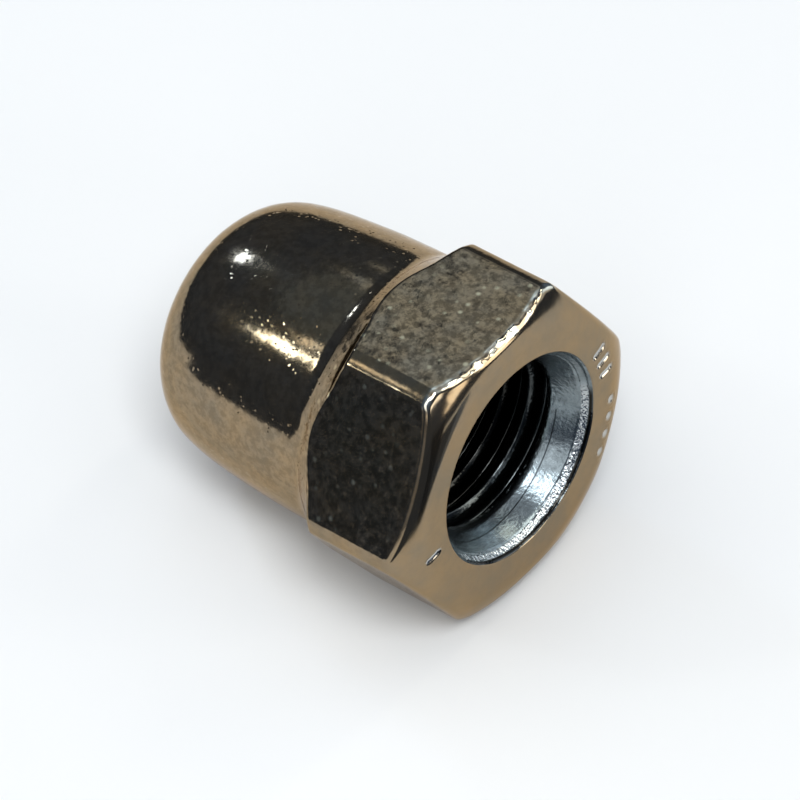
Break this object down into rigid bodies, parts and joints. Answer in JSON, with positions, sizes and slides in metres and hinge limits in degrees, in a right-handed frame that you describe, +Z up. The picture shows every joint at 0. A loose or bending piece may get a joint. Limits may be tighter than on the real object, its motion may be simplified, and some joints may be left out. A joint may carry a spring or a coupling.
{
  "type": "cap nut",
  "caption": "High domed cap nut with a hexagon and a blind threaded hole. It closes and covers the end of a bolt.",
  "frame": {"origin": "centre of the bounding box's bottom face, on the surface that the nut lies on", "axes": "+Z up. The nut's axis lies in the XZ plane. The hole opens towards +X and points up by the nut's resting tilt of 6.8 degrees"},
  "size_m": [0.0234, 0.0202, 0.0188],
  "materials": {
    "plated_steel": "bright zinc plate over cold-formed steel, lightly mottled"
  },
  "bodies": {
    "root": {"cap_nut": "plated_steel"}
  },
  "joints": []
}
